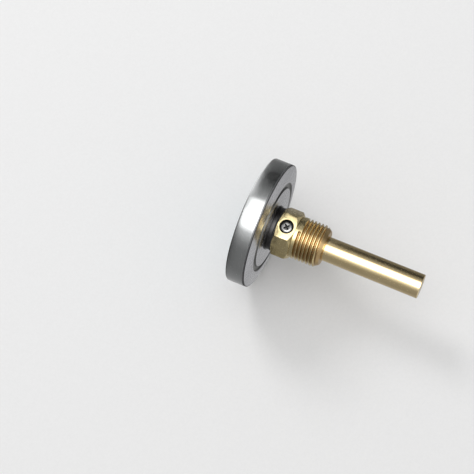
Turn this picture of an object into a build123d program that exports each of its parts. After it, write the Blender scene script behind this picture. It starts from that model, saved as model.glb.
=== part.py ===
# Bimetal dial thermometer with a 63 mm case on a back-entry stem and a screw-in brass pocket.
#
# Units are millimetres. +Z points to 12 o'clock, the dial faces -Y and the stem runs along +Y.
# The origin is on the pocket's thread axis, in the plane where its hexagon seats on the vessel.
# Every turned part is an outline of (radius, y) corners revolved about the Y axis.

from build123d import *

import os
from math import ceil, cos, radians, sin, tan

# ---- Fits and clearances ----
RUNNING_CLEARANCE = 0.05      # radial gap of a shaft that turns or slides in its guide
STEM_CLEARANCE = 0.08         # radial gap of the stem in the pocket's guide bore
POCKET_CLEARANCE = 0.5        # radial gap of the stem in the pocket tube
STEM_TIP_GAP = 2.0            # tip of the stem to the plug of the pocket
WINDOW_CLEARANCE = 0.2        # radial gap around the glass
DIAL_CLEARANCE = 0.4          # radial gap around the dial plate
PRINT_THICKNESS = 0.05        # thickness of the printed ink

# ---- Case ----
CASE_DIAMETER = 63.0
BEZEL_SHEET = 0.6
BEZEL_LIP = 1.1               # radial width of the rounded front lip
BEZEL_FLANGE_WIDTH = 3.6      # case edge to the edge of the sight opening
BEZEL_FLANGE_EDGE = 0.25      # thickness of the flange where it meets the glass
SEAM_GAP = 0.5                # shadow gap between the bezel skirt and the pan flange
BEZEL_LIP_ROUNDING = 0.52
BEZEL_LIP_DROP = 0.75         # front of the lip to the start of the hollow
BEZEL_LIP_RUN = 0.25
BEZEL_HOLLOW = 0.55           # how far the hollow's middle stands over its inner edge
BEZEL_HOLLOW_ROUNDING = 1.2
PAN_SHEET = 0.7
PAN_FLANGE_OVERHANG = 0.5     # how far the pan flange stands out of its wall
PAN_FLANGE_EDGE = 0.35        # thickness of that flange at its edge
PAN_DISH = 1.8                # height of the back's centre over the rear seam
PAN_SHOULDER_MARGIN = 6.3     # case wall to the shoulder outside the pressed groove
PAN_SHOULDER_WIDTH = 2.1
PAN_SHOULDER_DROP = 0.15      # how much lower the shoulder stands than the centre
PAN_GROOVE_WIDTH = 1.9
PAN_GROOVE_DEPTH = 1.0
PAN_GROOVE_RUN = 0.5          # radial run of each groove flank
PAN_ROUNDING = 0.3
PAN_CORNER_DROP = 0.4         # rear seam to the inner corner of the pan
EDGE_ROUNDING = 0.15

# ---- Window and dial ----
WINDOW_THICKNESS = 1.5
WINDOW_EDGE = 0.2             # chamfer of the glass
WINDOW_RECESS = 2.4           # front lip to the front of the glass
WINDOW_SEAL_THICKNESS = 0.7
WINDOW_SEAL_WIDTH = 1.2
DIAL_RING_WALL = 0.8
DIAL_THICKNESS = 0.5
DIAL_HOLE = 2.0               # radius of the hole that the spindle passes
DIAL_GAP = 1.3                # bush to the back of the dial

# ---- Scale: 0 to 120 degrees Celsius, clockwise ----
SCALE_MAX = 120
SCALE_SPAN = 270.0            # degrees of arc from the lowest to the highest mark
SCALE_MARGIN = 3.6            # sight opening to the outer end of the lines
LINE_STEP = 2
LINE_LENGTH = 2.1
LINE_WIDTH = 0.36
BAR_STEP = 10
BAR_LENGTH = 2.5
BAR_WIDTH = 0.72
NUMERAL_STEP = 20
NUMERAL_HEIGHT = 4.05
NUMERAL_WIDTH = 2.1
NUMERAL_PITCH = 2.42
NUMERAL_STROKE = 0.68
NUMERAL_INSET = 3.4           # inner end of the bars to the middle of a numeral
LONG_NUMERAL_INSET = 4.2      # the same for a numeral of three digits
UNIT_DROP = 11.2              # dial centre to the middle of the unit mark
DEGREE_RING_DIAMETER = 1.3
DEGREE_RING_STROKE = 0.22

# ---- Pointer and movement ----
READING = 26.5                # degrees Celsius that the pointer shows at rest
POINTER_OVERLAP = 0.4         # how far the tip reaches past the lines' outer ends
POINTER_HEIGHT = 1.2          # dial to the back of the pointer
POINTER_THICKNESS = 0.35
NEEDLE_ROOT_WIDTH = 1.6
NEEDLE_TIP_WIDTH = 0.55
TAIL_LENGTH = 10.5
TAIL_ROOT_WIDTH = 2.1
TAIL_WAIST_WIDTH = 2.9
TAIL_END_WIDTH = 6.3
TAIL_END_BULGE = 0.9
TAIL_ROUNDING = 0.45
BOSS_RADIUS = 2.9
HUB_RADIUS = 2.57
HUB_BORE = 1.3                # radius of the hole in the blade that the hub grips
HUB_COLLAR = 0.6              # how far the hub stands out behind the blade
HUB_HEIGHT = 0.75
HUB_DOME = 0.35
SPINDLE_RADIUS = 0.75
SPINDLE_STANDOUT = 0.1        # how far its end shows in front of the hub
GLASS_GAP = 0.7               # end of the spindle to the glass
BEARING_LENGTH = 2.5
COIL_LENGTH = 22.0
COIL_ROOM = 1.1               # radial room from the middle of the strip to the stem
COIL_TIP_GAP = 1.8            # coil anchor to the stem's end plug
COIL_PITCH = 2.2
STRIP_THICKNESS = 0.3
STRIP_WIDTH = 1.2
COIL_GAP = 0.03               # radial gap between the strip and what it is tacked to
COLLAR_LENGTH = 2.6
ANCHOR_LENGTH = 3.0

# ---- Stem and neck ----
STEM_DIAMETER = 9.0
STEM_WALL = 0.5
STEM_PLUG = 1.2
BUSH_WALL = 1.7
BUSH_FLANGE_WIDTH = 3.3
BUSH_FLANGE = 1.4
NECK_WASHER_MARGIN = 0.6      # how far the washer stands out of the nut
NECK_WASHER = 0.4
NECK_NUT = 2.0
NECK_NUT_MARGIN = 0.3         # flat of the hexagon to the rim of the nut
NECK_NUT_ROUNDING = 0.3
POCKET_SEAL = 0.7
POCKET_SEAL_MARGIN = 0.1      # flat of the hexagon to the rim of the seal

# ---- Pocket: hexagon, G 1/2 B thread and tube ----
HEX_ACROSS_FLATS = 22.0
HEX_LENGTH = 9.0
HEX_REAR_CHAMFER = 30.0       # degrees from the end face
HEX_FRONT_CHAMFER = 45.0
HEX_MOUTH_CHAMFER = 0.6
THREAD_DIAMETER = 20.955
THREAD_LENGTH = 15.0
THREAD_PITCH = 1.814
THREAD_DEPTH = 1.162
THREAD_HALF_ANGLE = 27.5
THREAD_ROOT_FLAT = 0.3
THREAD_END_CHAMFER = 1.9
THREAD_END_RUN = 2.6          # length of that chamfer along the axis
THREAD_NECK = 1.3             # plain neck between the seat and the thread
THREAD_NECK_DROP = 0.18       # how far that neck stands under the crests
SEAT_RELIEF_MARGIN = 0.12     # how far the relief in the seat reaches past the crests
SEAT_RELIEF_DEPTH = 0.1
POCKET_WALL = 1.0
POCKET_REACH = 64.0           # seat plane to the tip of the pocket
POCKET_SOCKET = 14.0          # how deep the tube is soldered into the body
POCKET_STEP = 0.2             # radial step of the turned-down end in that socket
POCKET_PLUG = 2.0
POCKET_EDGE = 0.4             # chamfer around the tip

# ---- Clamp screw, M4 with a cross recess ----
SCREW_RADIUS = 2.0
SCREW_HEAD_RADIUS = 2.65
SCREW_HEAD = 1.7
SCREW_DOME = 0.35
SCREW_DOME_WIDTH = 0.7        # flat top, as a share of the head
SCREW_SINK = 0.45             # hexagon face to the top of the head
SCREW_TIP_GAP = 0.05          # tip of the screw to the stem
SCREW_POINT = 0.5             # chamfer of the tip
COUNTERBORE_RADIUS = 3.4
COUNTERBORE_CLEARANCE = 0.3   # under the head
RECESS_LENGTH = 3.1
RECESS_WIDTH = 0.75
RECESS_DEPTH = 1.1

# ---- Radii that follow ----
CASE_RADIUS = CASE_DIAMETER / 2
WALL_RADIUS = CASE_RADIUS - BEZEL_SHEET
WALL_INNER = WALL_RADIUS - PAN_SHEET
SIGHT_RADIUS = CASE_RADIUS - BEZEL_FLANGE_WIDTH
PAN_SHOULDER = WALL_RADIUS - PAN_SHOULDER_MARGIN
PAN_GROOVE_OUTER = PAN_SHOULDER - PAN_SHOULDER_WIDTH
PAN_GROOVE_INNER = PAN_GROOVE_OUTER - PAN_GROOVE_WIDTH
DIAL_RADIUS = WALL_INNER - DIAL_CLEARANCE
LINE_OUTER = SIGHT_RADIUS - SCALE_MARGIN
BAR_OUTER = LINE_OUTER - LINE_LENGTH
BAR_INNER = BAR_OUTER - BAR_LENGTH
STEM_RADIUS = STEM_DIAMETER / 2
STEM_INNER = STEM_RADIUS - STEM_WALL
GUIDE_RADIUS = STEM_RADIUS + STEM_CLEARANCE
COIL_RADIUS = STEM_INNER - COIL_ROOM
COIL_SEAT = COIL_RADIUS - STRIP_THICKNESS / 2 - COIL_GAP
POCKET_INNER = STEM_RADIUS + POCKET_CLEARANCE
POCKET_RADIUS = POCKET_INNER + POCKET_WALL
SOCKET_RADIUS = POCKET_RADIUS - POCKET_STEP
THREAD_RADIUS = THREAD_DIAMETER / 2
THREAD_ROOT = THREAD_RADIUS - THREAD_DEPTH
THREAD_NECK_RADIUS = THREAD_RADIUS - THREAD_NECK_DROP
SEAT_RELIEF_RADIUS = THREAD_RADIUS + SEAT_RELIEF_MARGIN
HEX_FLAT = HEX_ACROSS_FLATS / 2
HEX_CORNER = HEX_FLAT / cos(radians(30))
NECK_RADIUS = STEM_RADIUS + BUSH_WALL
BUSH_FLANGE_RADIUS = NECK_RADIUS + BUSH_FLANGE_WIDTH
NECK_NUT_RADIUS = HEX_FLAT - NECK_NUT_MARGIN
NECK_WASHER_RADIUS = NECK_NUT_RADIUS + NECK_WASHER_MARGIN
POCKET_SEAL_RADIUS = HEX_FLAT - POCKET_SEAL_MARGIN

# ---- Places along the axis that follow ----
HEX_REAR_Y = -HEX_LENGTH
SEAL_REAR_Y = HEX_REAR_Y - POCKET_SEAL
NUT_REAR_Y = SEAL_REAR_Y - NECK_NUT
PAN_BACK_Y = NUT_REAR_Y - NECK_WASHER
PAN_INNER_Y = PAN_BACK_Y - PAN_SHEET
BUSH_REAR_Y = PAN_INNER_Y - BUSH_FLANGE
SEAM_Y = PAN_BACK_Y - PAN_DISH
DIAL_BACK_Y = BUSH_REAR_Y - DIAL_GAP
DIAL_FRONT_Y = DIAL_BACK_Y - DIAL_THICKNESS
BLADE_BACK_Y = DIAL_FRONT_Y - POINTER_HEIGHT
BLADE_FRONT_Y = BLADE_BACK_Y - POINTER_THICKNESS
HUB_FRONT_Y = BLADE_FRONT_Y - HUB_HEIGHT
SPINDLE_FRONT_Y = HUB_FRONT_Y - SPINDLE_STANDOUT
WINDOW_BACK_Y = SPINDLE_FRONT_Y - GLASS_GAP
WINDOW_FRONT_Y = WINDOW_BACK_Y - WINDOW_THICKNESS
WALL_FRONT_Y = WINDOW_BACK_Y + WINDOW_SEAL_THICKNESS
FRONT_Y = WINDOW_FRONT_Y - WINDOW_RECESS
GROOVE_FLOOR_Y = PAN_BACK_Y - PAN_GROOVE_DEPTH
SHOULDER_Y = PAN_BACK_Y - PAN_SHOULDER_DROP
HEX_MIDDLE_Y = HEX_REAR_Y / 2
THREAD_START_Y = THREAD_NECK + THREAD_PITCH / 2
SOCKET_FLOOR_Y = THREAD_LENGTH - POCKET_SOCKET
STEM_REACH = POCKET_REACH - POCKET_PLUG - STEM_TIP_GAP
COIL_END_Y = STEM_REACH - STEM_PLUG - COIL_TIP_GAP - ANCHOR_LENGTH
COIL_START_Y = COIL_END_Y - COIL_LENGTH

DEGREES_PER_UNIT = SCALE_SPAN / SCALE_MAX
BACKWARD = Plane(origin=(0, 0, 0), x_dir=(1, 0, 0), z_dir=(0, 1, 0))


def turned(corners):
    """Revolve a closed outline of (radius, y) or (radius, y, rounding) corners about the Y axis."""
    outline = make_face(Polyline(*[corner[:2] for corner in corners], close=True))
    for corner in corners:
        if len(corner) == 3:
            place = Vector(corner[0], corner[1], 0)
            nearest = min(outline.vertices(), key=lambda vertex: (Vector(*vertex) - place).length)
            outline = fillet(nearest, corner[2])
    return revolve(outline, axis=Axis.Y)


def ring(inner, outer, front, back):
    """Plain ring or disc about the Y axis between two planes."""
    return turned([(inner, front), (outer, front), (outer, back), (inner, back)])


def dial_angle(value):
    """Clockwise angle from 12 o'clock of a value on the scale, in degrees."""
    return (value - SCALE_MAX / 2) * DEGREES_PER_UNIT


def dial_place(angle, radius):
    """The (x, z) place at a clockwise angle from 12 o'clock and a radius."""
    return radius * sin(radians(angle)), radius * cos(radians(angle))


def front_plane(y, x=0.0, z=0.0, angle=0.0):
    """Plane that faces the reader at y, its own +Y turned clockwise from 12 o'clock by angle."""
    right = (cos(radians(angle)), 0, -sin(radians(angle)))
    return Plane(origin=(x, y, z), x_dir=right, z_dir=(0, -1, 0))


def printed(sketch, x=0.0, z=0.0, angle=0.0):
    """Lay a flat sketch on the dial as a thin layer of ink."""
    return extrude(front_plane(DIAL_FRONT_Y, x, z, angle) * sketch, amount=PRINT_THICKNESS)


def helical_sweep(path, section):
    """Carry a flat (outward, along the axis) section along a helix about the Y axis."""
    start = path @ 0
    outward = Vector(start.X, 0, start.Z).normalized()
    plane = Plane(origin=start, x_dir=outward, z_dir=path % 0)
    return sweep(plane * section, path=path, is_frenet=True)


# ---- Pocket ----
def thread_cutter():
    """One turn of the right-hand groove, wider outside the crest so that it cuts clean."""
    overshoot = 0.5
    turns = 1.01              # a little over one, so that each cut runs into the next
    outer = THREAD_RADIUS + overshoot

    def half_width(radius):
        return THREAD_ROOT_FLAT / 2 + (radius - THREAD_ROOT) * tan(radians(THREAD_HALF_ANGLE))

    path = Helix(
        THREAD_PITCH, THREAD_PITCH * turns, THREAD_RADIUS, center=(0, 0, 0), direction=(0, 1, 0)
    )
    section = Polyline(
        (-THREAD_DEPTH, -half_width(THREAD_ROOT)),
        (overshoot, -half_width(outer)),
        (overshoot, half_width(outer)),
        (-THREAD_DEPTH, half_width(THREAD_ROOT)),
        close=True,
    )
    return helical_sweep(path, make_face(section))


def threaded_spigot():
    """Threaded end of the pocket body, with a plain neck at the seat and a chamfered end."""
    spigot = turned([
        (0, 0),
        (THREAD_NECK_RADIUS, 0),
        (THREAD_NECK_RADIUS, THREAD_NECK),
        (THREAD_RADIUS, THREAD_NECK),
        (THREAD_RADIUS, THREAD_LENGTH - THREAD_END_RUN),
        (THREAD_RADIUS - THREAD_END_CHAMFER, THREAD_LENGTH),
        (0, THREAD_LENGTH),
    ])
    cutter = thread_cutter()
    turns = ceil((THREAD_LENGTH - THREAD_START_Y) / THREAD_PITCH) + 1
    for turn in range(turns):
        spigot = spigot - Pos(0, THREAD_START_Y + turn * THREAD_PITCH, 0) * cutter
    return spigot


def pocket_hexagon():
    """Hexagon with a flat towards +Z and both ends chamfered."""
    prism = extrude(
        BACKWARD * RegularPolygon(HEX_FLAT, 6, major_radius=False), amount=-HEX_LENGTH
    )
    corner_run = HEX_CORNER - HEX_FLAT
    rear_run = corner_run * tan(radians(HEX_REAR_CHAMFER))
    front_run = corner_run * tan(radians(HEX_FRONT_CHAMFER))
    envelope = turned([
        (0, HEX_REAR_Y),
        (HEX_FLAT, HEX_REAR_Y),
        (HEX_CORNER, HEX_REAR_Y + rear_run),
        (HEX_CORNER, -front_run),
        (HEX_FLAT, 0),
        (0, 0),
    ])
    return prism & envelope


def pocket_body():
    """Brass hexagon and thread in one piece, bored for the stem and socketed for the tube."""
    bore = turned([
        (0, HEX_REAR_Y),
        (GUIDE_RADIUS + HEX_MOUTH_CHAMFER, HEX_REAR_Y),
        (GUIDE_RADIUS, HEX_REAR_Y + HEX_MOUTH_CHAMFER),
        (GUIDE_RADIUS, SOCKET_FLOOR_Y),
        (SOCKET_RADIUS, SOCKET_FLOOR_Y),
        (SOCKET_RADIUS, THREAD_LENGTH),
        (0, THREAD_LENGTH),
    ])
    screw_axis = Pos(0, HEX_MIDDLE_Y, 0)
    upward = (Align.CENTER, Align.CENTER, Align.MIN)
    screw_hole = screw_axis * Cylinder(SCREW_RADIUS + RUNNING_CLEARANCE, HEX_FLAT, align=upward)
    floor_z = SCREW_HEAD_BASE_Z - COUNTERBORE_CLEARANCE
    counterbore = screw_axis * Pos(0, 0, floor_z) * Cylinder(
        COUNTERBORE_RADIUS, HEX_FLAT, align=upward
    )
    relief = ring(THREAD_NECK_RADIUS, SEAT_RELIEF_RADIUS, -SEAT_RELIEF_DEPTH, 0)
    return pocket_hexagon() + threaded_spigot() - relief - bore - screw_hole - counterbore


def pocket_tube():
    """Drawn brass tube that shields the stem, turned down where the body holds it."""
    return turned([
        (POCKET_INNER, SOCKET_FLOOR_Y),
        (SOCKET_RADIUS, SOCKET_FLOOR_Y),
        (SOCKET_RADIUS, THREAD_LENGTH),
        (POCKET_RADIUS, THREAD_LENGTH),
        (POCKET_RADIUS, POCKET_REACH - POCKET_EDGE),
        (POCKET_RADIUS - POCKET_EDGE, POCKET_REACH),
        (POCKET_INNER, POCKET_REACH),
    ])


def pocket_end_plug():
    """Disc soldered into the tip of the pocket tube."""
    return ring(0, POCKET_INNER, POCKET_REACH - POCKET_PLUG, POCKET_REACH)


# ---- Clamp screw ----
SCREW_TOP_Z = HEX_FLAT - SCREW_SINK
SCREW_HEAD_BASE_Z = SCREW_TOP_Z - SCREW_HEAD
SCREW_TIP_Z = STEM_RADIUS + SCREW_TIP_GAP


def clamp_screw():
    """Cheese-head screw whose tip bears on the stem, drawn along +Z."""
    outline = make_face(Polyline(
        (0, SCREW_TIP_Z),
        (SCREW_RADIUS - SCREW_POINT, SCREW_TIP_Z),
        (SCREW_RADIUS, SCREW_TIP_Z + SCREW_POINT),
        (SCREW_RADIUS, SCREW_HEAD_BASE_Z),
        (SCREW_HEAD_RADIUS, SCREW_HEAD_BASE_Z),
        (SCREW_HEAD_RADIUS, SCREW_TOP_Z - SCREW_DOME),
        (SCREW_HEAD_RADIUS * SCREW_DOME_WIDTH, SCREW_TOP_Z),
        (0, SCREW_TOP_Z),
        close=True,
    ))
    body = Rot(90, 0, 0) * revolve(outline, axis=Axis.Y)
    recess_middle = Pos(0, 0, SCREW_TOP_Z - RECESS_DEPTH / 2)
    for turn in (45, 135):
        slot = Box(RECESS_LENGTH, RECESS_WIDTH, RECESS_DEPTH)
        body = body - recess_middle * Rot(0, 0, turn) * slot
    return Pos(0, HEX_MIDDLE_Y, 0) * body


# ---- Neck ----
def pocket_seal():
    """Black sealing washer between the neck nut and the hexagon, free to turn on the pocket."""
    return ring(GUIDE_RADIUS, POCKET_SEAL_RADIUS, SEAL_REAR_Y, HEX_REAR_Y)


def neck_bush():
    """Flanged bush that carries the stem and passes through the back of the case."""
    return turned([
        (STEM_RADIUS, BUSH_REAR_Y),
        (BUSH_FLANGE_RADIUS, BUSH_REAR_Y),
        (BUSH_FLANGE_RADIUS, PAN_INNER_Y),
        (NECK_RADIUS, PAN_INNER_Y),
        (NECK_RADIUS, SEAL_REAR_Y),
        (STEM_RADIUS, SEAL_REAR_Y),
    ])


def neck_washer():
    """Thin washer between the neck nut and the back of the case."""
    return ring(NECK_RADIUS, NECK_WASHER_RADIUS, PAN_BACK_Y, NUT_REAR_Y)


def neck_nut():
    """Round nut that clamps the bush to the case."""
    return turned([
        (NECK_RADIUS, NUT_REAR_Y),
        (NECK_NUT_RADIUS, NUT_REAR_Y),
        (NECK_NUT_RADIUS, SEAL_REAR_Y, NECK_NUT_ROUNDING),
        (NECK_RADIUS, SEAL_REAR_Y),
    ])


def stem_tube():
    """Stainless stem that holds the bimetal coil."""
    return ring(STEM_INNER, STEM_RADIUS, BUSH_REAR_Y, STEM_REACH)


def stem_end_plug():
    """Disc welded into the tip of the stem."""
    return ring(0, STEM_INNER, STEM_REACH - STEM_PLUG, STEM_REACH)


# ---- Case ----
def case_pan():
    """Pressed back of the case, with its groove, dished centre and inner wall."""
    flange_edge = WALL_RADIUS + PAN_FLANGE_OVERHANG
    plateau = PAN_GROOVE_INNER - PAN_GROOVE_RUN
    shoulder_inner = PAN_GROOVE_OUTER + PAN_GROOVE_RUN
    inner_shoulder_y = SHOULDER_Y - PAN_SHEET
    inner_floor_y = GROOVE_FLOOR_Y - PAN_SHEET
    soft = PAN_ROUNDING
    return turned([
        (NECK_RADIUS, PAN_BACK_Y),
        (plateau, PAN_BACK_Y, soft),
        (PAN_GROOVE_INNER, GROOVE_FLOOR_Y, soft),
        (PAN_GROOVE_OUTER, GROOVE_FLOOR_Y, soft),
        (shoulder_inner, SHOULDER_Y, soft),
        (PAN_SHOULDER, SHOULDER_Y, soft),
        (flange_edge, SEAM_Y + PAN_FLANGE_EDGE, EDGE_ROUNDING),
        (flange_edge, SEAM_Y),
        (WALL_RADIUS, SEAM_Y),
        (WALL_RADIUS, WALL_FRONT_Y),
        (WALL_INNER, WALL_FRONT_Y),
        (WALL_INNER, SEAM_Y - PAN_CORNER_DROP),
        (PAN_SHOULDER, inner_shoulder_y, soft),
        (shoulder_inner, inner_shoulder_y, soft),
        (PAN_GROOVE_OUTER, inner_floor_y, soft),
        (PAN_GROOVE_INNER, inner_floor_y, soft),
        (plateau, PAN_INNER_Y, soft),
        (NECK_RADIUS, PAN_INNER_Y),
    ])


def bezel_ring():
    """Polished slip-on ring: skirt, rounded front lip and hollow-ground flange over the glass."""
    lip_inner = CASE_RADIUS - BEZEL_LIP
    hollow_start = lip_inner - BEZEL_LIP_RUN
    hollow_start_y = FRONT_Y + BEZEL_LIP_DROP
    hollow_middle = (hollow_start + SIGHT_RADIUS) / 2
    skirt_back_y = SEAM_Y - SEAM_GAP
    edge_y = WINDOW_FRONT_Y - BEZEL_FLANGE_EDGE
    return turned([
        (WALL_RADIUS, skirt_back_y),
        (CASE_RADIUS, skirt_back_y, EDGE_ROUNDING),
        (CASE_RADIUS, FRONT_Y, BEZEL_LIP_ROUNDING),
        (lip_inner, FRONT_Y, BEZEL_LIP_ROUNDING),
        (hollow_start, hollow_start_y, BEZEL_LIP_RUN),
        (hollow_middle, edge_y - BEZEL_HOLLOW, BEZEL_HOLLOW_ROUNDING),
        (SIGHT_RADIUS, edge_y),
        (SIGHT_RADIUS, WINDOW_FRONT_Y),
        (hollow_middle, WINDOW_FRONT_Y),
        (hollow_start, hollow_start_y + BEZEL_SHEET),
        (WALL_RADIUS, hollow_start_y + BEZEL_SHEET),
    ])


def window():
    """Flat glass disc."""
    edge = WINDOW_EDGE
    radius = WALL_RADIUS - WINDOW_CLEARANCE
    return turned([
        (0, WINDOW_FRONT_Y),
        (radius - edge, WINDOW_FRONT_Y),
        (radius, WINDOW_FRONT_Y + edge),
        (radius, WINDOW_BACK_Y - edge),
        (radius - edge, WINDOW_BACK_Y),
        (0, WINDOW_BACK_Y),
    ])


def window_seal():
    """Rubber ring that presses the glass against the bezel."""
    return ring(WALL_RADIUS - WINDOW_SEAL_WIDTH, WALL_RADIUS, WINDOW_BACK_Y, WALL_FRONT_Y)


def dial_ring():
    """Inner ring that holds the dial's edge and hides the case wall."""
    return ring(WALL_INNER - DIAL_RING_WALL, WALL_INNER, WALL_FRONT_Y, DIAL_FRONT_Y)


def dial_plate():
    """White dial disc."""
    return ring(DIAL_HOLE, DIAL_RADIUS, DIAL_FRONT_Y, DIAL_BACK_Y)


def dial_spacer():
    """Ring that stands the dial off the pressed groove of the case back."""
    return ring(PAN_GROOVE_INNER, PAN_GROOVE_OUTER, DIAL_BACK_Y, GROOVE_FLOOR_Y - PAN_SHEET)


# ---- Scale ----
def radial_mark(angle, inner, outer, width):
    """Straight printed mark along a radius."""
    x, z = dial_place(angle, (inner + outer) / 2)
    return printed(Rectangle(width, outer - inner), x, z, angle)


def scale_lines():
    """Fine lines, one for each two degrees."""
    values = range(0, SCALE_MAX + 1, LINE_STEP)
    return Compound(children=[
        radial_mark(dial_angle(value), BAR_OUTER, LINE_OUTER, LINE_WIDTH) for value in values
    ])


def scale_bars():
    """Heavy bars, one for each ten degrees."""
    values = range(0, SCALE_MAX + 1, BAR_STEP)
    return Compound(children=[
        radial_mark(dial_angle(value), BAR_INNER, BAR_OUTER, BAR_WIDTH) for value in values
    ])


def stadium_loop(width, height, stroke):
    """Upright closed loop with round ends."""
    outer = Rot(0, 0, 90) * SlotOverall(height, width)
    inner = Rot(0, 0, 90) * SlotOverall(height - 2 * stroke, width - 2 * stroke)
    return outer - inner


def block(left, bottom, right, top):
    """Rectangle given by its two corners."""
    return Pos((left + right) / 2, (bottom + top) / 2) * Rectangle(right - left, top - bottom)


def polygon(*corners):
    """Filled outline with straight sides."""
    return make_face(Polyline(*corners, close=True))


def digit(character):
    """One digit in an even stroke, centred on its own box."""
    half_w = NUMERAL_WIDTH / 2
    half_h = NUMERAL_HEIGHT / 2
    stroke = NUMERAL_STROKE
    loop = stadium_loop(NUMERAL_WIDTH, NUMERAL_HEIGHT, stroke)
    if character == "0":
        return loop
    if character == "1":
        stem_left = half_w * 0.1
        stem_right = stem_left + stroke
        flag = polygon(
            (stem_left, half_h),
            (stem_left, half_h - stroke * 1.15),
            (-half_w * 0.75, half_h - stroke * 2.1),
            (-half_w * 0.75, half_h - stroke * 1.0),
        )
        return block(stem_left, -half_h, stem_right, half_h) + flag
    if character == "2":
        arch = loop & block(-half_w, half_h - half_w, half_w, half_h)
        foot = block(-half_w, -half_h, half_w, -half_h + stroke)
        diagonal = polygon(
            (half_w, half_h - half_w),
            (half_w - stroke, half_h - half_w),
            (-half_w, -half_h + stroke),
            (-half_w + stroke * 1.15, -half_h + stroke),
        )
        return arch + diagonal + foot
    if character == "4":
        bar_bottom = -half_h * 0.55
        post_right = half_w * 0.85
        post = block(post_right - stroke, -half_h, post_right, half_h * 0.15)
        crossbar = block(-half_w, bar_bottom, half_w * 1.05, bar_bottom + stroke)
        stroke_down = polygon(
            (half_w * 0.05, half_h),
            (half_w * 0.05 + stroke * 1.1, half_h),
            (-half_w + stroke * 1.1, bar_bottom + stroke * 0.5),
            (-half_w, bar_bottom + stroke * 0.5),
        )
        return post + crossbar + stroke_down
    lower_height = NUMERAL_HEIGHT * 0.6
    lower = Pos(0, -half_h + lower_height / 2) * stadium_loop(
        NUMERAL_WIDTH, lower_height, stroke
    )
    if character == "6":
        back = loop & block(-half_w, -half_h + lower_height / 2, 0, half_h)
        hook = loop & block(0, half_h - half_w, half_w, half_h)
        return lower + back + hook
    upper_height = NUMERAL_HEIGHT - lower_height + stroke
    upper_width = NUMERAL_WIDTH * 0.94
    upper = Pos(0, half_h - upper_height / 2) * stadium_loop(upper_width, upper_height, stroke)
    return lower + upper


def numeral(value):
    """The printed digits of one value, upright on the dial."""
    text = str(value)
    inset = LONG_NUMERAL_INSET if len(text) > 2 else NUMERAL_INSET
    x, z = dial_place(dial_angle(value), BAR_INNER - inset)
    first = x - NUMERAL_PITCH * (len(text) - 1) / 2
    return [
        printed(digit(character), first + NUMERAL_PITCH * place, z)
        for place, character in enumerate(text)
    ]


def scale_numerals():
    """Numerals, one for each twenty degrees."""
    values = range(0, SCALE_MAX + 1, NUMERAL_STEP)
    return Compound(children=[solid for value in values for solid in numeral(value)])


def unit_mark():
    """Degree ring and capital C."""
    half_w = NUMERAL_WIDTH / 2
    letter = stadium_loop(NUMERAL_WIDTH, NUMERAL_HEIGHT, NUMERAL_STROKE)
    letter = letter - block(0, -half_w * 0.75, half_w, half_w * 0.75)
    ring_radius = DEGREE_RING_DIAMETER / 2
    degree = Circle(ring_radius) - Circle(ring_radius - DEGREE_RING_STROKE)
    ring_x = -half_w - ring_radius - 0.25
    ring_z = -UNIT_DROP + NUMERAL_HEIGHT / 2 - ring_radius + 0.2
    return Compound(children=[printed(letter, 0, -UNIT_DROP), printed(degree, ring_x, ring_z)])


# ---- Pointer and movement ----
def pointer_blade():
    """Black pointer with a slim needle, a round boss and a flared tail."""
    tip = LINE_OUTER + POINTER_OVERLAP
    needle = polygon(
        (-NEEDLE_ROOT_WIDTH / 2, 0),
        (NEEDLE_ROOT_WIDTH / 2, 0),
        (NEEDLE_TIP_WIDTH / 2, tip),
        (-NEEDLE_TIP_WIDTH / 2, tip),
    )
    end_z = TAIL_END_BULGE - TAIL_LENGTH
    side = Spline(
        (TAIL_ROOT_WIDTH / 2, 0),
        (TAIL_WAIST_WIDTH / 2, end_z * 0.5),
        (TAIL_END_WIDTH / 2, end_z),
    )
    end = ThreePointArc((TAIL_END_WIDTH / 2, end_z), (0, -TAIL_LENGTH), (-TAIL_END_WIDTH / 2, end_z))
    other = mirror(side, about=Plane.YZ)
    top = Line((-TAIL_ROOT_WIDTH / 2, 0), (TAIL_ROOT_WIDTH / 2, 0))
    tail = make_face([side, end, other, top])
    corners = tail.vertices().group_by(Axis.Y)[0]
    tail = fillet(corners, TAIL_ROUNDING)
    shape = needle + tail + Circle(BOSS_RADIUS) - Circle(HUB_BORE)
    plane = front_plane(BLADE_BACK_Y, 0, 0, dial_angle(READING))
    return extrude(plane * shape, amount=POINTER_THICKNESS)


def pointer_hub():
    """Bright turned button that grips the blade and the spindle."""
    back = BLADE_BACK_Y + HUB_COLLAR
    return turned([
        (SPINDLE_RADIUS, back),
        (HUB_BORE, back),
        (HUB_BORE, BLADE_FRONT_Y),
        (HUB_RADIUS, BLADE_FRONT_Y),
        (HUB_RADIUS, HUB_FRONT_Y + HUB_DOME, 0.1),
        (HUB_RADIUS * 0.55, HUB_FRONT_Y, 0.5),
        (SPINDLE_RADIUS, HUB_FRONT_Y),
    ])


def spindle():
    """Shaft from the coil to the pointer."""
    return ring(0, SPINDLE_RADIUS, SPINDLE_FRONT_Y, COIL_START_Y + COLLAR_LENGTH)


def bearing(front):
    """Guide bush for the spindle, pressed into the stem."""
    return ring(SPINDLE_RADIUS + RUNNING_CLEARANCE, STEM_INNER, front, front + BEARING_LENGTH)


def coil_collar():
    """Brass collar that ties the coil's front end to the spindle."""
    return ring(SPINDLE_RADIUS, COIL_SEAT, COIL_START_Y, COIL_START_Y + COLLAR_LENGTH)


def bimetal_coil():
    """Helical bimetal strip that winds up as it warms."""
    height = COIL_LENGTH - STRIP_WIDTH
    path = Pos(0, COIL_START_Y + STRIP_WIDTH / 2, 0) * Helix(
        COIL_PITCH, height, COIL_RADIUS, center=(0, 0, 0), direction=(0, 1, 0)
    )
    return helical_sweep(path, Rectangle(STRIP_THICKNESS, STRIP_WIDTH))


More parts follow.
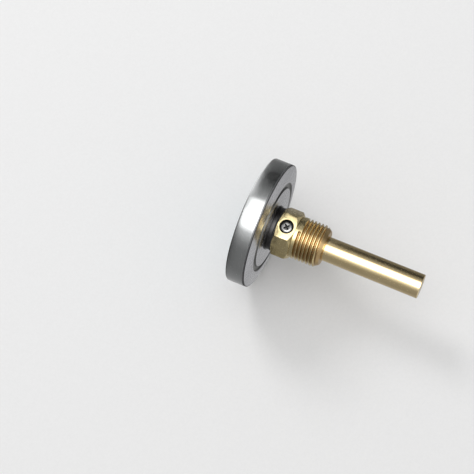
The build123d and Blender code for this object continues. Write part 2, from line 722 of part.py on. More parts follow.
def coil_anchor():
    """Plug in the stem with a post that holds the coil's far end."""
    return turned([
        (0, COIL_END_Y - STRIP_WIDTH),
        (COIL_SEAT, COIL_END_Y - STRIP_WIDTH),
        (COIL_SEAT, COIL_END_Y),
        (STEM_INNER, COIL_END_Y),
        (STEM_INNER, COIL_END_Y + ANCHOR_LENGTH),
        (0, COIL_END_Y + ANCHOR_LENGTH),
    ])


PARTS = {
    "pocket_body": pocket_body(),
    "pocket_tube": pocket_tube(),
    "pocket_end_plug": pocket_end_plug(),
    "clamp_screw": clamp_screw(),
    "pocket_seal": pocket_seal(),
    "neck_bush": neck_bush(),
    "neck_nut": neck_nut(),
    "neck_washer": neck_washer(),
    "stem_tube": stem_tube(),
    "stem_end_plug": stem_end_plug(),
    "case_pan": case_pan(),
    "bezel_ring": bezel_ring(),
    "window": window(),
    "window_seal": window_seal(),
    "dial_ring": dial_ring(),
    "dial_plate": dial_plate(),
    "dial_spacer": dial_spacer(),
    "scale_lines": scale_lines(),
    "scale_bars": scale_bars(),
    "scale_numerals": scale_numerals(),
    "unit_mark": unit_mark(),
    "pointer_blade": pointer_blade(),
    "pointer_hub": pointer_hub(),
    "spindle": spindle(),
    "upper_bearing": bearing(BUSH_REAR_Y),
    "lower_bearing": bearing(COIL_START_Y - 2 * BEARING_LENGTH),
    "coil_collar": coil_collar(),
    "bimetal_coil": bimetal_coil(),
    "coil_anchor": coil_anchor(),
}

os.makedirs("parts", exist_ok=True)
for name, shape in PARTS.items():
    export_step(shape, f"parts/{name}.step")
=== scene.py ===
"""Bimetal dial thermometer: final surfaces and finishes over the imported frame.

Lengths in the classes are millimetres and become metres when a mesh is made.
The Y axis runs through the dial, the stem and the pocket. The dial faces -Y and +Z is 12 o'clock.
"""

import logging
import math
from dataclasses import dataclass
from enum import Enum
from typing import Callable, Sequence

import bmesh
import bpy
import numpy as np
from mathutils import Matrix, Vector

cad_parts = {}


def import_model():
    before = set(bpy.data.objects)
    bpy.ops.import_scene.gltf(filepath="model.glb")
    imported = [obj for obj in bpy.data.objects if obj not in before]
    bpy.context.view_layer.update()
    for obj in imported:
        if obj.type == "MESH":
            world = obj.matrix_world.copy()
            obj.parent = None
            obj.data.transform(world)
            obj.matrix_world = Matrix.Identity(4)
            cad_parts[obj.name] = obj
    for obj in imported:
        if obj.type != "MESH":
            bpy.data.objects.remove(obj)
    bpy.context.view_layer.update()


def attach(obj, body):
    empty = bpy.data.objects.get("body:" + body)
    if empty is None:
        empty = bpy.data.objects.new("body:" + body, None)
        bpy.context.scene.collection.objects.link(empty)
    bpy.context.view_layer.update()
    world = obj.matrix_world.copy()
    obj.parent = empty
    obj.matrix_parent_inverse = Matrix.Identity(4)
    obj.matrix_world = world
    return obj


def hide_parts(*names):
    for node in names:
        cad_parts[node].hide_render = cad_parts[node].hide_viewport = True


LOG = logging.getLogger("thermometer")
MM = 0.001
ARC_STEPS = 6
STRAIGHT = 178.0
MERGE_DISTANCE = 1e-7
CREASE = 28.0
SOFTENED_CREASE = 32.0

Corner = tuple[float, float, float]
Colour = tuple[float, float, float, float]
Stops = tuple[tuple[float, float], ...]
Piece = bpy.types.Object
Socket = bpy.types.NodeSocket


# ---- Surfaces ----
def rounded_profile(corners: Sequence[Corner]) -> np.ndarray:
    """Closed outline with its corners rounded by tangent arcs.

    A corner of opening angle g and rounding q starts its arc q / tan(g / 2) from the corner, and
    the arc's centre stands q / sin(g / 2) from the corner along the bisector.

    Args:
        corners: (radius, y, rounding) of each corner, in order.

    Returns:
        Array of (radius, y) rows.
    """
    places = np.array([corner[:2] for corner in corners], dtype=float)
    rows = []
    for index, (_, _, rounding) in enumerate(corners):
        here = places[index]
        back = places[index - 1] - here
        ahead = places[(index + 1) % len(places)] - here
        back /= np.linalg.norm(back)
        ahead /= np.linalg.norm(ahead)
        opening = math.acos(float(np.clip(back @ ahead, -1.0, 1.0)))
        if rounding <= 0.0 or opening > math.radians(STRAIGHT):
            rows.append(here[None, :])
            continue
        bisector = (back + ahead) / np.linalg.norm(back + ahead)
        centre = here + bisector * rounding / math.sin(opening / 2)
        reach = rounding / math.tan(opening / 2)
        start = here + back * reach - centre
        end = here + ahead * reach - centre
        share = np.linspace(0.0, 1.0, ARC_STEPS + 1)[:, None]
        turn = math.pi - opening
        arc = (np.sin((1 - share) * turn) * start + np.sin(share * turn) * end) / math.sin(turn)
        rows.append(centre + arc)
    return np.concatenate(rows)


def ring_grid(radius: np.ndarray, along: np.ndarray, columns: np.ndarray) -> np.ndarray:
    """Places of a turned grid: x = r sin(a), y = along, z = r cos(a).

    Args:
        radius: (columns, rows) radii.
        along: (columns, rows) places along the axis.
        columns: Angle of each column from 12 o'clock, in radians.

    Returns:
        (columns * rows, 3) places in metres.
    """
    turn = columns[:, None]
    grid = np.stack([radius * np.sin(turn), along, radius * np.cos(turn)], axis=-1)
    return grid.reshape(-1, 3) * MM


def wrapped_faces(columns: int, rows: int) -> np.ndarray:
    """Quads of a grid whose columns and rows both close on themselves.

    Args:
        columns: Number of columns.
        rows: Number of rows.

    Returns:
        (faces, 4) vertex numbers.
    """
    column, row = np.meshgrid(np.arange(columns), np.arange(rows), indexing="ij")
    right, above = (column + 1) % columns, (row + 1) % rows
    quads = [column * rows + row, right * rows + row, right * rows + above, column * rows + above]
    return np.stack(quads, axis=-1).reshape(-1, 4)


def column_angles(columns: int) -> np.ndarray:
    """Angle of each column of a turned grid, all around the axis."""
    return np.linspace(0.0, 2 * math.pi, columns, endpoint=False)


def turned_grid(outline: np.ndarray, columns: int) -> tuple[np.ndarray, np.ndarray]:
    """Turn an outline about the Y axis.

    Args:
        outline: (radius, y) rows, in order around the outline.
        columns: Steps around the axis.

    Returns:
        The places in metres and the vertex numbers of the faces.
    """
    shape = (columns, len(outline))
    radius, along = (np.broadcast_to(outline[:, part], shape) for part in (0, 1))
    return ring_grid(radius, along, column_angles(columns)), wrapped_faces(*shape)


def row_grids(rows: Sequence[tuple[object, object]], columns: int) -> tuple[np.ndarray, np.ndarray]:
    """Grids of rows whose radius and y are each one number or one for each column.

    Args:
        rows: (radius, y) of each row.
        columns: Number of columns.

    Returns:
        (columns, rows) radii and places along the axis.
    """
    radius, along = (
        np.stack([np.broadcast_to(row[part], columns) for row in rows], axis=1) for part in (0, 1)
    )
    return radius, along


def linked(name: str, mesh: bpy.types.Mesh) -> Piece:
    """Put a mesh in the scene as an object of its own, at the origin."""
    piece = bpy.data.objects.new(name, mesh)
    bpy.context.scene.collection.objects.link(piece)
    return piece


def mesh_piece(name: str, places: np.ndarray, faces: np.ndarray) -> Piece:
    """Make a closed piece with outward normals and sharp edges past the crease angle.

    Args:
        name: Name of the piece.
        places: (n, 3) vertex places in metres.
        faces: (m, 4) vertex numbers.

    Returns:
        The linked object, at the origin.
    """
    mesh = bpy.data.meshes.new(name)
    mesh.from_pydata(places.tolist(), [], faces.tolist())
    body = bmesh.new()
    body.from_mesh(mesh)
    bmesh.ops.remove_doubles(body, verts=body.verts, dist=MERGE_DISTANCE)
    bmesh.ops.dissolve_degenerate(body, edges=body.edges, dist=MERGE_DISTANCE / 10)
    bmesh.ops.recalc_face_normals(body, faces=body.faces)
    body.to_mesh(mesh)
    body.free()
    piece = linked(name, mesh)
    smooth(piece, CREASE)
    return piece


def smooth(piece: Piece, crease: float) -> None:
    """Shade a piece smooth, with edges past the crease angle left sharp."""
    piece.data.polygons.foreach_set("use_smooth", np.ones(len(piece.data.polygons), dtype=bool))
    piece.data.set_sharp_from_angle(angle=math.radians(crease))
    piece.data.update()


def turned_piece(name: str, corners: Sequence[Corner], columns: int = 192) -> Piece:
    """Revolve a closed rounded outline about the Y axis.

    Args:
        name: Name of the piece.
        corners: (radius, y, rounding) corners.
        columns: Steps around the axis.

    Returns:
        The new piece.
    """
    return mesh_piece(name, *turned_grid(rounded_profile(corners), columns))


def applied(piece: Piece) -> None:
    """Replace a piece's mesh by what its modifiers make of it."""
    bpy.context.view_layer.update()
    made = bpy.data.meshes.new_from_object(
        piece.evaluated_get(bpy.context.evaluated_depsgraph_get())
    )
    piece.modifiers.clear()
    piece.data = made


def softened_copy(node: str, name: str, width: float) -> Piece:
    """Copy a frame node with its edges softened by a small bevel.

    Args:
        node: Frame node to copy.
        name: Name of the new piece.
        width: Width of the bevel, in millimetres.

    Returns:
        The new piece, which replaces the node.
    """
    mesh = bpy.data.objects[node].data.copy()
    mesh.name = name
    body = bmesh.new()
    body.from_mesh(mesh)
    bmesh.ops.remove_doubles(body, verts=body.verts, dist=MERGE_DISTANCE)
    flat = math.radians(1.0)
    bmesh.ops.dissolve_limit(body, angle_limit=flat, verts=body.verts, edges=body.edges)
    body.to_mesh(mesh)
    body.free()
    piece = linked(name, mesh)
    bevel = piece.modifiers.new("soft edges", "BEVEL")
    bevel.width = width * MM
    bevel.segments = 2
    bevel.limit_method = "ANGLE"
    bevel.angle_limit = math.radians(35.0)
    applied(piece)
    smooth(piece, SOFTENED_CREASE)
    return piece


# ---- Finishes ----
class Graph:
    """Node tree written in a few short calls."""

    def __init__(self, tree: bpy.types.NodeTree) -> None:
        """Take over a node tree and empty it."""
        self.tree = tree
        self.tree.nodes.clear()

    def node(self, kind: str) -> bpy.types.Node:
        """Add a node."""
        return self.tree.nodes.new(f"ShaderNode{kind}")

    def feed(self, socket: Socket, value: object) -> None:
        """Link a socket, or set its own value."""
        if isinstance(value, Socket):
            self.tree.links.new(value, socket)
        else:
            socket.default_value = value

    def axes(self, vector: Socket) -> tuple[Socket, ...]:
        """The x, y and z of a vector."""
        split = self.node("SeparateXYZ")
        self.feed(split.inputs[0], vector)
        return tuple(split.outputs)

    def math(self, operation: str, first: object, second: object = 0.0) -> Socket:
        """Combine two numbers."""
        node = self.node("Math")
        node.operation = operation
        self.feed(node.inputs[0], first)
        self.feed(node.inputs[1], second)
        return node.outputs[0]

    def distance(self, first: Socket, second: Socket) -> Socket:
        """Distance from an axis: sqrt(first first + second second)."""
        squares = [self.math("MULTIPLY", side, side) for side in (first, second)]
        return self.math("SQRT", self.math("ADD", *squares))

    def merge(self, share: Socket, first: object, second: object) -> Socket:
        """Mix two numbers."""
        node = self.node("Mix")
        node.data_type = "FLOAT"
        numbers = [socket for socket in node.inputs if socket.type == "VALUE"]
        for socket, value in zip(numbers, (share, first, second)):
            self.feed(socket, value)
        return node.outputs[0]

    def span(
        self,
        value: Socket,
        reach: tuple[float, float],
        result: tuple[float, float] = (0.0, 1.0),
        easing: str = "LINEAR",
    ) -> Socket:
        """Carry a value from one range into another, kept within it.

        Args:
            value: The value.
            reach: Where the value starts and stops to count.
            result: What comes out there.
            easing: LINEAR, or SMOOTHSTEP for soft ends.

        Returns:
            The result's socket.
        """
        node = self.node("MapRange")
        node.interpolation_type = easing
        names = ("From Min", "From Max", "To Min", "To Max")
        for name, number in zip(names, reach + result):
            node.inputs[name].default_value = number
        self.feed(node.inputs["Value"], value)
        return node.outputs[0]


class Recipe(Graph):
    """Node tree of one finish."""

    NOISE_MIDDLE = (0.3, 0.7)
    ANGLE_SHARE = 0.0006

    def __init__(self, name: str) -> None:
        """Start an empty finish with a Principled shader."""
        self.material = bpy.data.materials.new(name)
        self.material.use_nodes = True
        super().__init__(self.material.node_tree)
        self.output = self.node("OutputMaterial")
        self.shader = self.node("BsdfPrincipled")
        self.feed(self.output.inputs["Surface"], self.shader.outputs[0])
        self.place = self.node("TexCoord").outputs["Object"]

    def shade(self, **sockets: object) -> None:
        """Set sockets of the shader, named with underscores for spaces."""
        for name, value in sockets.items():
            self.feed(self.shader.inputs[name.replace("_", " ")], value)

    def spread(self, vector: Socket, scale: tuple[float, float, float]) -> Socket:
        """Stretch coordinates by a factor for each axis."""
        node = self.node("Mapping")
        node.inputs["Scale"].default_value = scale
        self.feed(node.inputs["Vector"], vector)
        return node.outputs[0]

    def noise(self, vector: Socket, scale: float, detail: float = 3.0) -> Socket:
        """Noise of 0 to 1 at a number of cells to the metre."""
        node = self.node("TexNoise")
        node.inputs["Scale"].default_value = scale
        node.inputs["Detail"].default_value = detail
        self.feed(node.inputs["Vector"], vector)
        return node.outputs[0]

    def remap(self, value: Socket, low: float, high: float) -> Socket:
        """Turn the middle of a noise into a range."""
        return self.span(value, self.NOISE_MIDDLE, (low, high))

    def blend(self, share: Socket, first: object, second: object) -> Socket:
        """Mix two colours."""
        node = self.node("Mix")
        node.data_type = "RGBA"
        ends = [socket for socket in node.inputs if socket.type == "RGBA"]
        self.feed(node.inputs[0], share)
        self.feed(ends[0], first)
        self.feed(ends[1], second)
        return next(socket for socket in node.outputs if socket.type == "RGBA")

    def ramp(self, value: Socket, absent: float, full: float) -> Socket:
        """Share of the way between two places, in millimetres, kept from 0 to 1."""
        return self.span(value, (absent * MM, full * MM))

    def within(self, zone: "Zone") -> Socket:
        """Share of a zone at each place: its radial share times its share along the axis."""
        x, y, z = self.axes(self.place)
        across = self.math("SUBTRACT", y, zone.middle * MM) if zone.upright else z
        radial = self.ramp(self.distance(x, across), *zone.radial)
        return self.math("MULTIPLY", radial, self.ramp(z if zone.upright else y, *zone.along))

    def turned(self) -> Socket:
        """Coordinates that hardly change around the Y axis, so noise on them makes turning marks.

        The first is the distance from the axis, the second is y, and the third is a small share
        of the angle.
        """
        x, y, z = self.axes(self.place)
        angle = self.math("ABSOLUTE", self.math("ARCTAN2", x, z))
        join = self.node("CombineXYZ")
        self.feed(join.inputs[0], self.distance(x, z))
        self.feed(join.inputs[1], y)
        self.feed(join.inputs[2], self.math("MULTIPLY", angle, self.ANGLE_SHARE))
        return join.outputs[0]

    def bump(self, height: Socket, strength: float, depth: float) -> Socket:
        """Bump normal from a height of 0 to 1, with its depth in millimetres."""
        node = self.node("Bump")
        node.inputs["Strength"].default_value = strength
        node.inputs["Distance"].default_value = depth * MM
        self.feed(node.inputs["Height"], height)
        return node.outputs[0]


@dataclass(frozen=True)
class Zone:
    """Part of a piece that carries another tone, by distance from an axis and place along it:
    painted shade in recesses, in the seam and on the dial's rim, or tarnish in the thread.

    The axis is Y, or Z where upright, and passes through y = middle. Each range gives where the
    tone is absent and where it is full, in millimetres.
    """

    tone: Colour
    rough: float
    metallic: float
    radial: tuple[float, float]
    along: tuple[float, float]
    upright: bool = False
    middle: float = 0.0


@dataclass(frozen=True)
class TurnedMetal:
    """Metal with fine turning marks about the Y axis, a faint stain, small smears and zones of painted
    shade or tarnish.
    """

    name: str
    bright: Colour
    stained: Colour
    smooth: float
    rough: float
    marks: float = 9000.0
    mark_depth: float = 0.004
    mark_strength: float = 0.25
    zones: tuple[Zone, ...] = ()

    def make(self) -> bpy.types.Material:
        """Build the finish."""
        recipe = Recipe(self.name)
        rings = recipe.noise(recipe.turned(), self.marks, 2.0)
        stain = recipe.noise(recipe.place, 120.0, 4.0)
        smear = recipe.noise(recipe.place, 620.0, 3.0)
        tone = recipe.blend(recipe.remap(stain, 0.0, 1.0), self.bright, self.stained)
        tone = recipe.blend(recipe.remap(rings, 0.0, 0.35), tone, self.stained)
        smeared = recipe.remap(smear, 0.85, 1.2)
        worn = recipe.math("MULTIPLY", smeared, recipe.remap(rings, self.smooth, self.rough))
        metallic = 1.0
        # Zones mix in painted shade in recesses and the seam, or tarnish in the thread's grooves.
        for zone in self.zones:
            within = recipe.within(zone)
            tone = recipe.blend(within, tone, zone.tone)
            worn = recipe.merge(within, worn, zone.rough)
            metallic = recipe.merge(within, metallic, zone.metallic)
        recipe.shade(
            Base_Color=tone,
            Metallic=metallic,
            Roughness=worn,
            Normal=recipe.bump(rings, self.mark_strength, self.mark_depth),
        )
        return recipe.material


@dataclass(frozen=True)
class DrawnMetal:
    """Tube or bar drawn along the Y axis, with long faint streaks."""

    name: str
    bright: Colour
    stained: Colour
    smooth: float
    rough: float
    streak_depth: float = 0.003

    def make(self) -> bpy.types.Material:
        """Build the finish."""
        recipe = Recipe(self.name)
        streaks = recipe.noise(recipe.spread(recipe.place, (1.0, 0.025, 1.0)), 5200.0, 3.0)
        stain = recipe.noise(recipe.spread(recipe.place, (1.0, 0.4, 1.0)), 160.0, 4.0)
        tone = recipe.blend(recipe.remap(stain, 0.0, 1.0), self.bright, self.stained)
        recipe.shade(
            Base_Color=tone,
            Metallic=1.0,
            Roughness=recipe.remap(streaks, self.smooth, self.rough),
            Normal=recipe.bump(streaks, 0.25, self.streak_depth),
        )
        return recipe.material


@dataclass(frozen=True)
class Lacquer:
    """Sprayed or printed coat with a fine skin, a slight drift of colour and zones of painted shade."""

    name: str
    colour: Colour
    shade: Colour
    gloss: float
    dull: float
    grain: float = 5200.0
    grain_depth: float = 0.006
    mirrored: float = 0.5
    zones: tuple[Zone, ...] = ()

    def make(self) -> bpy.types.Material:
        """Build the finish."""
        recipe = Recipe(self.name)
        drift = recipe.noise(recipe.place, 70.0, 4.0)
        grain = recipe.noise(recipe.place, self.grain, 3.0)
        tone = recipe.blend(recipe.remap(drift, 0.0, 1.0), self.colour, self.shade)
        # Zones mix in painted shade, such as the darker ring on the dial's rim under the bezel.
        for zone in self.zones:
            tone = recipe.blend(recipe.within(zone), tone, zone.tone)
        recipe.shade(
            Base_Color=tone,
            Metallic=0.0,
            Specular_IOR_Level=self.mirrored,
            Roughness=recipe.remap(grain, self.gloss, self.dull),
            Normal=recipe.bump(grain, 0.3, self.grain_depth),
        )
        return recipe.material


@dataclass(frozen=True)
class ClearGlass:
    """Flat window glass that mirrors more at a slant and lets the rest through.

    The mirrored share is m + (1 - m) (1 - cos a)^5 for the slant a, with m the share mirrored
    straight on.
    """

    name: str
    tint: Colour
    sheen: Colour
    straight: float = 0.04

    def make(self) -> bpy.types.Material:
        """Build the finish."""
        recipe = Recipe(self.name)
        recipe.tree.nodes.remove(recipe.shader)
        through = recipe.node("BsdfTransparent")
        through.inputs["Color"].default_value = self.tint
        mirror = recipe.node("BsdfGlossy")
        mirror.inputs["Color"].default_value = self.sheen
        haze = recipe.noise(recipe.place, 90.0, 3.0)
        recipe.feed(mirror.inputs["Roughness"], recipe.remap(haze, 0.01, 0.035))
        weight = recipe.node("LayerWeight")
        weight.inputs["Blend"].default_value = 0.5
        slant = recipe.math("POWER", weight.outputs["Facing"], 5.0)
        slanted = recipe.math("MULTIPLY", slant, 1.0 - self.straight)
        mix = recipe.node("MixShader")
        sources = (recipe.math("ADD", slanted, self.straight), through.outputs[0], mirror.outputs[0])
        for socket, source in zip(mix.inputs, sources):
            recipe.feed(socket, source)
        recipe.feed(recipe.output.inputs["Surface"], mix.outputs[0])
        return recipe.material


# ---- Sizes that several pieces share, and the zones of their finishes: painted shade and the thread's tarnish ----
HEX_FLAT = 11.0
HEX_LENGTH = 9.0
STEM_GUIDE = 4.58
NECK_BORE = 6.2
SEAL_REAR = -9.7
SCREW_Y = -HEX_LENGTH / 2
COUNTERBORE = 3.4

# Near-black tone of painted shade, for the screw's counterbore and cross recess and for the seam's gap.
PAINTED_SHADE_TONE = (0.010, 0.010, 0.010, 1)
TARNISH = (0.50, 0.35, 0.17, 1)
# Painted shade on the wall and floor of the counterbore around the screw head.
SCREW_WELL_SHADE = Zone(
    PAINTED_SHADE_TONE, 0.6, 0.2, (COUNTERBORE + 0.16, COUNTERBORE + 0.06), (HEX_FLAT - 0.01, HEX_FLAT - 0.15),
    True, SCREW_Y,
)
# Painted shade inside the screw's cross recess.
SCREW_RECESS_SHADE = Zone(PAINTED_SHADE_TONE, 0.5, 0.5, (1.95, 1.85), (HEX_FLAT - 0.38, HEX_FLAT - 0.55), True, SCREW_Y)
THREAD_GROOVES = Zone(TARNISH, 0.34, 1.0, (10.42, 9.6), (1.2, 1.5))
GROOVE_SHADE = Zone((0.16, 0.16, 0.155, 1), 0.34, 1.0, (23.1, 22.8), (-12.12, -12.22))
# Painted shade ring on the dial's rim, where the bezel shades the dial.
DIAL_RIM_SHADE = Zone((0.55, 0.67, 0.75, 1), 0.45, 0.0, (26.2, 27.8), (-14.0, -15.0))
# Painted shade in the gap of the seam between the bezel and the back.
SEAM_SHADE = Zone(PAINTED_SHADE_TONE, 0.5, 0.0, (30.85, 30.95), (-13.42, -13.52))


class Finish(Enum):
    """Every finish of the thermometer."""

    POCKET_BRASS = TurnedMetal(
        "pocket_brass", (0.74, 0.62, 0.35, 1), (0.62, 0.51, 0.27, 1), 0.16, 0.28,
        zones=(THREAD_GROOVES, SCREW_WELL_SHADE),
    )
    TUBE_BRASS = DrawnMetal("tube_brass", (0.96, 0.78, 0.46, 1), (0.88, 0.70, 0.39, 1), 0.12, 0.22)
    SCREW_STEEL = TurnedMetal(
        "screw_steel", (0.42, 0.42, 0.41, 1), (0.32, 0.32, 0.31, 1), 0.20, 0.34, zones=(SCREW_RECESS_SHADE,)
    )
    RUBBER = Lacquer(
        "seal_rubber", (0.018, 0.018, 0.019, 1), (0.03, 0.03, 0.031, 1), 0.5, 0.72, 3000.0, 0.01
    )
    NECK_STEEL = TurnedMetal(
        "neck_steel", (0.10, 0.098, 0.096, 1), (0.06, 0.058, 0.057, 1), 0.24, 0.42
    )
    BUSH_STEEL = TurnedMetal("bush_steel", (0.52, 0.52, 0.51, 1), (0.40, 0.40, 0.40, 1), 0.25, 0.40)
    STEM_STEEL = DrawnMetal("stem_steel", (0.66, 0.66, 0.65, 1), (0.56, 0.56, 0.55, 1), 0.18, 0.30)
    CASE_STEEL = TurnedMetal(
        "case_steel", (0.62, 0.62, 0.645, 1), (0.52, 0.52, 0.54, 1), 0.18, 0.30, 7000.0, 0.003,
        zones=(GROOVE_SHADE, SEAM_SHADE),
    )
    BEZEL_STEEL = TurnedMetal(
        "bezel_steel", (0.49, 0.50, 0.50, 1), (0.44, 0.45, 0.45, 1), 0.12, 0.22, 6000.0, 0.0015, 0.15
    )
    GLASS = ClearGlass("window_glass", (0.97, 0.985, 0.99, 1), (1, 1, 1, 1))
    RING_LACQUER = Lacquer("ring_lacquer", (0.40, 0.50, 0.58, 1), (0.34, 0.44, 0.52, 1), 0.3, 0.45)
    DIAL_WHITE = Lacquer(
        "dial_white", (0.79, 0.91, 0.97, 1), (0.82, 0.93, 0.98, 1), 0.38, 0.5, zones=(DIAL_RIM_SHADE,)
    )
    SPACER = TurnedMetal("spacer_aluminium", (0.72, 0.73, 0.74, 1), (0.62, 0.63, 0.64, 1), 0.25, 0.4)
    INK = Lacquer(
        "ink_black", (0.004, 0.010, 0.016, 1), (0.008, 0.016, 0.022, 1), 0.35, 0.5, 7000.0, 0.002, 0.15
    )
    POINTER_BLACK = Lacquer(
        "pointer_black", (0.006, 0.008, 0.010, 1), (0.010, 0.012, 0.015, 1), 0.28, 0.4, 6000.0, 0.003,
        0.15,
    )
    HUB_NICKEL = TurnedMetal(
        "hub_nickel", (0.84, 0.79, 0.70, 1), (0.68, 0.63, 0.55, 1), 0.30, 0.42, 14000.0, 0.004, 0.4
    )
    SPINDLE = DrawnMetal("spindle_steel", (0.60, 0.60, 0.60, 1), (0.50, 0.50, 0.50, 1), 0.2, 0.3)
    BEARING = TurnedMetal("bearing_brass", (0.75, 0.58, 0.30, 1), (0.62, 0.46, 0.22, 1), 0.22, 0.35)
    BIMETAL = TurnedMetal("bimetal", (0.56, 0.52, 0.47, 1), (0.44, 0.41, 0.38, 1), 0.3, 0.45)

    def material(self) -> bpy.types.Material:
        """The finish's material, made once."""
        return bpy.data.materials.get(f"finish_{self.value.name}") or self.fresh()

    def fresh(self) -> bpy.types.Material:
        """Make the finish's material."""
        made = self.value.make()
        made.name = f"finish_{self.value.name}"
        return made


def dress(piece: Piece, finish: Finish) -> None:
    """Give a new piece its finish."""
    piece.data.materials.clear()
    piece.data.materials.append(finish.material())


def dress_node(node: str, finish: Finish) -> None:
    """Give a carried-over frame node its finish, on its object's own slots."""
    carried = bpy.data.objects[node]
    for slot in carried.material_slots:
        slot.link = "OBJECT"
        slot.material = finish.material()
    LOG.info("%s keeps its shape, in %s", node, finish.value.name)


def stand_for(piece: Piece, finish: Finish, body: str, *nodes: str) -> None:
    """Dress a new piece, fix it to a body and let it stand for frame nodes."""
    dress(piece, finish)
    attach(piece, body)
    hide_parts(*nodes)
    LOG.info("%s: %d faces, on %s", piece.name, len(piece.data.polygons), body)


# ---- Sub-assemblies ----
@dataclass
class Pocket:
    """Brass pocket: hexagon, threaded spigot and sheath."""

    hex_flat: float = HEX_FLAT
    hex_length: float = HEX_LENGTH
    corner_cut: float = 0.10
    edge: float = 0.14
    least_rise: float = 0.05
    slope_lead: float = 0.08
    slope_step: float = 0.02
    rear_ease: float = 0.04
    rear_slope: float = 30.0
    front_slope: float = 45.0
    mouth: float = 5.18
    guide: float = STEM_GUIDE
    mouth_chamfer: float = 0.6
    neck_radius: float = 10.2975
    neck_length: float = 1.3
    relief_radius: float = 10.5975
    relief_depth: float = 0.1
    thread_radius: float = 10.4775
    thread_depth: float = 1.162
    thread_pitch: float = 1.814
    thread_length: float = 15.0
    run_in: float = 0.12
    neck_rim: float = 0.04
    thread_end: float = 12.4
    end_chamfer: float = 1.9
    half_angle: float = 27.5
    root_flat: float = 0.3
    socket_radius: float = 5.8
    socket_floor: float = 1.0
    sheath_radius: float = 6.0
    sheath_inner: float = 5.0
    sheath_reach: float = 64.0
    sheath_edge: float = 0.4
    plug_length: float = 2.0
    columns: int = 168
    thread_rows: int = 260

    def hexagon(self, angles: np.ndarray) -> np.ndarray:
        """Radius of the hexagon: flat / cos(angle from the nearest flat), with its corners cut."""
        sixth = math.pi / 3
        off = (angles + sixth / 2) % sixth - sixth / 2
        corner = self.hex_flat / math.cos(sixth / 2) - self.corner_cut
        return np.minimum(self.hex_flat / np.cos(off), corner)

    def thread(self, angles: np.ndarray, along: np.ndarray) -> np.ndarray:
        """Radius of the thread at each angle and place along the axis.

        The distance w from the middle of the nearest groove turns once around per pitch. The
        radius is the root plus (w - half the root flat) / tan(half angle), kept between the root
        and the crest and under the chamfer of the spigot's end.
        """
        start = self.neck_length + self.thread_pitch / 2
        turn = angles[:, None] / (2 * math.pi)
        phase = (along[None, :] - start) / self.thread_pitch - turn
        distance = np.abs(phase - np.round(phase)) * self.thread_pitch
        root = self.thread_radius - self.thread_depth
        flank = root + (distance - self.root_flat / 2) / math.tan(math.radians(self.half_angle))
        radius = np.clip(flank, root, self.thread_radius)
        past_start = along[None, :] - self.neck_length - turn * self.thread_pitch
        radius = np.where(past_start < self.run_in, self.thread_radius, radius)
        run = self.thread_length - self.thread_end
        cone = self.thread_radius - self.end_chamfer * (along - self.thread_end) / run
        return np.minimum(radius, cone[None, :])

    def body(self) -> Piece:
        """One closed surface for the hexagon, the thread and the bore, with the screw's hole cut."""
        angles = column_angles(self.columns)
        corner = self.hexagon(angles)
        rise = corner - self.hex_flat
        risen = rise > self.least_rise
        rear, half_edge = -self.hex_length, self.edge / 2
        rear_run, front_run = (
            rise * math.tan(math.radians(slope)) for slope in (self.rear_slope, self.front_slope)
        )
        slope_start = self.hex_flat + rise * self.slope_lead
        lead = [
            (self.mouth, rear),
            (self.hex_flat - self.edge, rear),
            (slope_start, rear + rear_run * self.slope_lead + self.slope_step),
            (corner - half_edge * risen, rear + rear_run - self.rear_ease * risen),
            (corner, rear + rear_run + self.edge),
            (corner, -front_run - self.edge),
            (corner - half_edge * risen, -front_run + half_edge * risen),
            (slope_start, -front_run * self.slope_lead - self.slope_step),
            (self.hex_flat - self.edge, 0.0),
            (self.relief_radius, 0.0),
            (self.relief_radius, -self.relief_depth),
            (self.neck_radius, -self.relief_depth),
            (self.neck_radius, self.neck_length - self.neck_rim),
        ]
        tail = [
            (self.socket_radius, self.thread_length),
            (self.socket_radius, self.socket_floor),
            (self.guide, self.socket_floor),
            (self.guide, rear + self.mouth_chamfer),
        ]
        lead_radius, lead_along = row_grids(lead, self.columns)
        tail_radius, tail_along = row_grids(tail, self.columns)
        along = np.linspace(self.neck_length, self.thread_length, self.thread_rows)
        thread_along = np.broadcast_to(along, (self.columns, self.thread_rows))
        radius = np.concatenate([lead_radius, self.thread(angles, along), tail_radius], axis=1)
        height = np.concatenate([lead_along, thread_along, tail_along], axis=1)
        places = ring_grid(radius, height, angles)
        piece = mesh_piece("pocket_hexagon", places, wrapped_faces(*radius.shape))
        ScrewHole().cut(piece)
        return piece

    def build(self) -> None:
        """Make the pocket's pieces."""
        stand_for(self.body(), Finish.POCKET_BRASS, "pocket", "pocket_body")
        sheath = turned_piece(
            "pocket_sheath",
            [
                (self.sheath_inner, self.socket_floor, 0),
                (self.socket_radius, self.socket_floor, 0),
                (self.socket_radius, self.thread_length, 0),
                (self.sheath_radius, self.thread_length, 0.06),
                (self.sheath_radius, self.sheath_reach, self.sheath_edge),
                (self.sheath_inner, self.sheath_reach, 0.05),
            ],
        )
        stand_for(sheath, Finish.TUBE_BRASS, "pocket", "pocket_tube")
        plug = turned_piece(
            "pocket_tip",
            [
                (0, self.sheath_reach - self.plug_length, 0),
                (self.sheath_inner, self.sheath_reach - self.plug_length, 0),
                (self.sheath_inner, self.sheath_reach, 0.08),
                (0, self.sheath_reach, 0),
            ],
        )
        stand_for(plug, Finish.TUBE_BRASS, "pocket", "pocket_end_plug")


